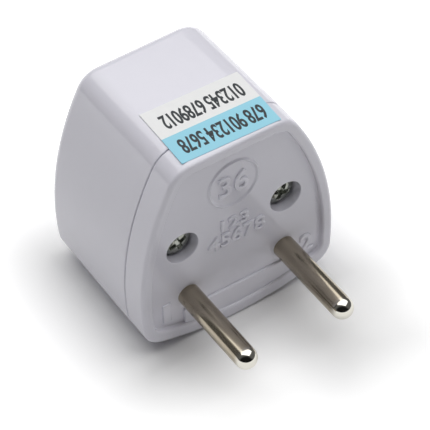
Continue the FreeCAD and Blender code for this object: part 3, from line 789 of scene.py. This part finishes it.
class Nodes:
    """Short ways to add and link the nodes of one tree."""

    def __init__(self, tree):
        self.tree = tree

    def node(self, kind, inputs=None, **settings):
        """A node with its settings. Each input is a number, a colour or another node's output."""
        made = self.tree.nodes.new(kind)
        for name, value in settings.items():
            setattr(made, name, value)
        for name, value in (inputs or {}).items():
            if isinstance(value, bpy.types.NodeSocket):
                self.tree.links.new(value, made.inputs[name])
            else:
                made.inputs[name].default_value = value
        return made

    def math(self, operation, first, second=0.0):
        """Arithmetic on numbers."""
        return self.node("ShaderNodeMath", {0: first, 1: second}, operation=operation).outputs[0]

    def vector(self, operation, first, second=(0, 0, 0)):
        """Arithmetic on vectors, whose length and dot product come out as numbers."""
        made = self.node("ShaderNodeVectorMath", {0: first, 1: second}, operation=operation)
        return made.outputs["Value" if operation in ("LENGTH", "DOT_PRODUCT") else "Vector"]

    def spread(self, value, low, high, from_low=NOISE_LOW, from_high=NOISE_HIGH):
        """Carries a value from one range to another."""
        return self.node("ShaderNodeMapRange", {
            "Value": value, "From Min": from_low, "From Max": from_high,
            "To Min": low, "To Max": high}).outputs[0]

    def blend(self, share, first, second):
        """Mixes two colours."""
        return self.node("ShaderNodeMix", {0: share, 6: first, 7: second},
                         data_type="RGBA").outputs[2]

    def rays(self):
        """Two shares: 1 for a ray from the camera, and 1 for one mirrored or let through."""
        ray = self.node("ShaderNodeLightPath").outputs
        mirrored = self.math("MAXIMUM", ray["Is Glossy Ray"], ray["Is Transmission Ray"])
        return ray["Is Camera Ray"], mirrored


class Finish(Nodes):
    """A material, its node tree and the sockets of its shader."""

    def __init__(self, name, **values):
        self.material = bpy.data.materials.new(name)
        self.material.use_nodes = True
        super().__init__(self.material.node_tree)
        self.shader = self.tree.nodes["Principled BSDF"]
        for socket, value in values.items():
            self.shader.inputs[socket.replace("_", " ")].default_value = value

    def place(self, scale=(1, 1, 1)):
        """The object's own coordinates, stretched."""
        where = self.node("ShaderNodeTexCoord").outputs["Object"]
        return self.node("ShaderNodeMapping", {"Vector": where, "Scale": scale}).outputs[0]

    def noise(self, vector, scale, detail=3.0, roughness=0.5):
        """Noise that repeats about as many times a metre as the scale says."""
        return self.node("ShaderNodeTexNoise", {"Vector": vector, "Scale": scale, "Detail": detail,
                                                "Roughness": roughness}).outputs[0]

    def put(self, socket, value):
        """Links a value to one of the shader's sockets."""
        self.tree.links.new(value, self.shader.inputs[socket])

    def bump(self, height, distance):
        """Raises the surface by up to the distance, in millimetres."""
        self.put("Normal", self.node("ShaderNodeBump", {
            "Height": height, "Distance": distance * MM}).outputs[0])


def case_plastic():
    """Glossy white moulding with a faint lavender cast, soft flow mottling and a light ripple."""
    finish = Finish("white_gloss_plastic", IOR=1.5)
    where = finish.place()
    flow = finish.noise(where, 90, 4)
    finish.put("Base Color", finish.blend(flow, *PLASTIC_TONES))
    finish.put("Roughness", finish.spread(finish.noise(where, 700, 5), 0.09, 0.16))
    finish.bump(finish.noise(where, 420, 2), 0.012)
    return finish.material


def pin_nickel():
    """Nickel plating: the shank lightly brushed along its length, the domed end polished.

    Its colour is painted: lighter on the dome as a painted highlight, and darker and browner on
    the shank as painted shade, mottled at random.
    """
    finish = Finish("nickel_plating", Metallic=1.0)
    where = finish.place()
    length = finish.node("ShaderNodeSeparateXYZ", {0: where}).outputs[1]
    dome_start = FLOOR_PLACE - PIN_LENGTH + PIN_RADIUS
    change = 0.6
    shank = finish.spread(length, 0.0, 1.0, (dome_start - change) * MM, (dome_start + change) * MM)
    lines = finish.noise(finish.place((1, 0.03, 1)), 5200, 4, 0.6)
    # The shank's colour is painted shade, mottled at random; the dome's lighter colour is a
    # painted highlight
    shank_painted_shade = finish.blend(finish.noise(where, 240, 3), *SHANK_PAINTED_SHADE)
    finish.put("Base Color", finish.blend(shank, DOME_PAINTED_HIGHLIGHT, shank_painted_shade))
    brushed = finish.math("MULTIPLY", shank, finish.spread(lines, 0.08, 0.2))
    finish.put("Roughness", finish.math("ADD", brushed, 0.06))
    finish.bump(lines, 0.003)
    return finish.material


def screw_zinc():
    """Zinc plating, a little green and grainy, duller where the noise is dark.

    Its colour is partly painted: the dark tone, far darker than zinc, is painted shade of the
    counterbore, mixed with the lighter zinc tone by the grain.
    """
    finish = Finish("zinc_plating", Metallic=1.0)
    grain = finish.noise(finish.place(), 2600, 4, 0.65)
    # The dark end of this mix is painted shade of the counterbore
    finish.put("Base Color", finish.blend(grain, *ZINC_AND_PAINTED_SHADE))
    finish.put("Roughness", finish.spread(grain, 0.30, 0.14))
    finish.bump(grain, 0.010)
    return finish.material


def contact_brass():
    """Rolled brass strip with lines along the pins and slight tarnish."""
    finish = Finish("brass_strip", Metallic=1.0)
    rolled = finish.noise(finish.place((1, 0.05, 1)), 3600, 3)
    tarnish = finish.noise(finish.place(), 260, 4)
    finish.put("Base Color", finish.blend(tarnish, *BRASS_TONES))
    finish.put("Roughness", finish.spread(rolled, 0.18, 0.36))
    finish.bump(rolled, 0.006)
    return finish.material


def label_film():
    """Satin film: a sky-blue field in front and a white one behind, by the UV map's length."""
    finish = Finish("printed_film", IOR=1.46)
    uv = finish.node("ShaderNodeUVMap", uv_map="print").outputs[0]
    along = finish.node("ShaderNodeSeparateXYZ", {0: uv}).outputs[1]
    field = finish.blend(finish.math("LESS_THAN", along, BLUE_SHARE), FILM_WHITE, FILM_BLUE)
    tone = finish.noise(finish.place(), 800, 3)
    dusty = finish.blend(finish.math("MULTIPLY", tone, DUST_SHARE), field, FILM_DUST)
    finish.put("Base Color", dusty)
    finish.put("Roughness", finish.spread(tone, 0.30, 0.42))
    finish.bump(tone, 0.008)
    return finish.material


def print_ink():
    """Dark ink, a little thin in places."""
    finish = Finish("print_ink", IOR=1.46)
    thin = finish.noise(finish.place(), 2600, 3)
    finish.put("Base Color", finish.blend(thin, *INK_TONES))
    finish.put("Roughness", finish.spread(thin, 0.35, 0.5))
    return finish.material


def table_white():
    """White table: matt, and bright enough to the camera and in reflections to read as white.

    The brightness fades towards the part, by the distance from rectangles under the case and
    under the pins: this is painted shade round the case and a painted shadow of the pins on the
    floor. That distance is the length of what lies beyond the rectangle's half size on both axes.
    """
    finish = Finish("white_table", Roughness=0.9, Specular_IOR_Level=0.1, Emission_Color=WHITE)
    where = finish.place()
    finish.put("Base Color", finish.blend(finish.noise(where, 60, 3), *TABLE_TONES))
    glow = finish.spread(finish.vector("LENGTH", where), TABLE_GLOW, 1.0,
                         GLOW_NEAR * MM, GLOW_FAR * MM)
    # Fading the glow here paints shade round the case and the pins' shadow on the floor
    for least, middle, half in (PAINTED_SHADE_CASE, PAINTED_SHADOW_PINS):
        aside = finish.vector("SUBTRACT", where, tuple(Vector(middle) * MM))
        beyond = finish.vector("SUBTRACT", finish.vector("ABSOLUTE", aside),
                               tuple(Vector(half) * MM))
        away = finish.vector("LENGTH", finish.vector("MAXIMUM", beyond))
        glow = finish.math("MULTIPLY", glow, finish.spread(away, least, 1.0, 0.0, GLOW_FADE * MM))
    seen = finish.math("MAXIMUM", *finish.rays())
    finish.put("Emission Strength", finish.math("MULTIPLY", seen, glow))
    return finish.material


def table():
    """Flat white table under the part."""
    mesh = bpy.data.meshes.new("table")
    half = TABLE_HALF * MM
    corners = [(-half, -half, 0), (half, -half, 0), (half, half, 0), (-half, half, 0)]
    mesh.from_pydata(corners, [], [(0, 1, 2, 3)])
    top = add_object("table", mesh)
    mesh.materials.append(table_white())


def room():
    """Dim light from low round the room, white behind the table, grey walls in reflections.

    The light fades out with height. The walls darken smoothly towards the opening's middle.
    """
    world = bpy.data.worlds.new("room")
    bpy.context.scene.world = world
    world.use_nodes = True
    world.node_tree.nodes.clear()
    nodes = Nodes(world.node_tree)

    def background(colour, strength=1.0):
        return nodes.node("ShaderNodeBackground", {0: colour, 1: strength}).outputs[0]

    def choose(share, first, second):
        return nodes.node("ShaderNodeMixShader", {0: share, 1: first, 2: second}).outputs[0]

    way = nodes.node("ShaderNodeTexCoord").outputs["Generated"]
    front = (math.sin(CAMERA_AZIMUTH), -math.cos(CAMERA_AZIMUTH), 0.0)
    facing = nodes.vector("DOT_PRODUCT", way, front)
    walls = background(nodes.spread(facing, ROOM_WALL, OPENING_WALL, *OPENING_EDGE))
    rise = nodes.node("ShaderNodeSeparateXYZ", {0: way}).outputs[2]
    light = background(WHITE, nodes.spread(rise, ROOM_LIGHT, 0.0, 0.0, ROOM_LIGHT_TOP))
    direct, mirrored = nodes.rays()
    mixed = choose(direct, choose(mirrored, light, walls), background(WHITE))
    nodes.node("ShaderNodeOutputWorld", {0: mixed})


def softbox():
    """A rectangular lamp that looks down at the part."""
    lamp = bpy.data.lights.new("softbox_above", "AREA")
    lamp.shape = "RECTANGLE"
    lamp.size = SOFTBOX_SIZE[0] * MM
    lamp.size_y = SOFTBOX_SIZE[1] * MM
    lamp.energy = SOFTBOX_WATTS
    way = Vector(SOFTBOX_WAY).normalized()
    place = (Vector(SOFTBOX_AIM) + way * SOFTBOX_DISTANCE) * MM
    turn = way.to_track_quat("Z", "Y").to_matrix().to_4x4()
    add_object("softbox_above", lamp).matrix_world = Matrix.Translation(place) @ turn


def camera():
    """Camera at the photograph's place, given by its bearing, height and roll."""
    azimuth, height, roll = CAMERA_AZIMUTH, CAMERA_HEIGHT, CAMERA_ROLL
    back = Vector((math.sin(azimuth) * math.cos(height), -math.cos(azimuth) * math.cos(height),
                   math.sin(height)))
    level = Vector((math.cos(azimuth), math.sin(azimuth), 0))
    upright = back.cross(level)
    right = level * math.cos(roll) + upright * math.sin(roll)
    up = back.cross(right)
    data = bpy.data.cameras.new("camera")
    data.lens = CAMERA_LENS
    data.sensor_width = CAMERA_SENSOR
    data.clip_start = CAMERA_NEAREST * MM
    view = add_object("camera", data)
    turn = Matrix((right, up, back)).transposed().to_4x4()
    view.matrix_world = Matrix.Translation(Vector(CAMERA_PLACE) * MM) @ turn
    bpy.context.scene.camera = view


plastic = case_plastic()
nickel = pin_nickel()
zinc = screw_zinc()
brass = contact_brass()

seat(cover_shape().finish("cover_moulding"), plastic, "case", "pin_cover")
seat(numbers_shape().finish("moulded_numbers"), plastic, "case")
seat(shell_shape().finish("shell_moulding"), plastic, "case", "socket_shell")
for word, side, turn in (("left", -1, 20), ("right", 1, 65)):
    seat(pin_shape(side).finish("plated_pin_" + word), nickel, "pin", "pin_" + word)
    screw = screw_shape(side, math.radians(turn)).finish("plated_screw_" + word)
    seat(screw, zinc, "screw", "screw_" + word)
    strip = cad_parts["contact_" + word]
    strip.data.materials.clear()
    strip.data.materials.append(brass)
seat(label_sheet(), label_film(), "label", "top_label")
seat(print_shape().finish("printed_figures"), print_ink(), "label")

table()
room()
softbox()
camera()
bpy.context.scene.view_settings.view_transform = "Standard"
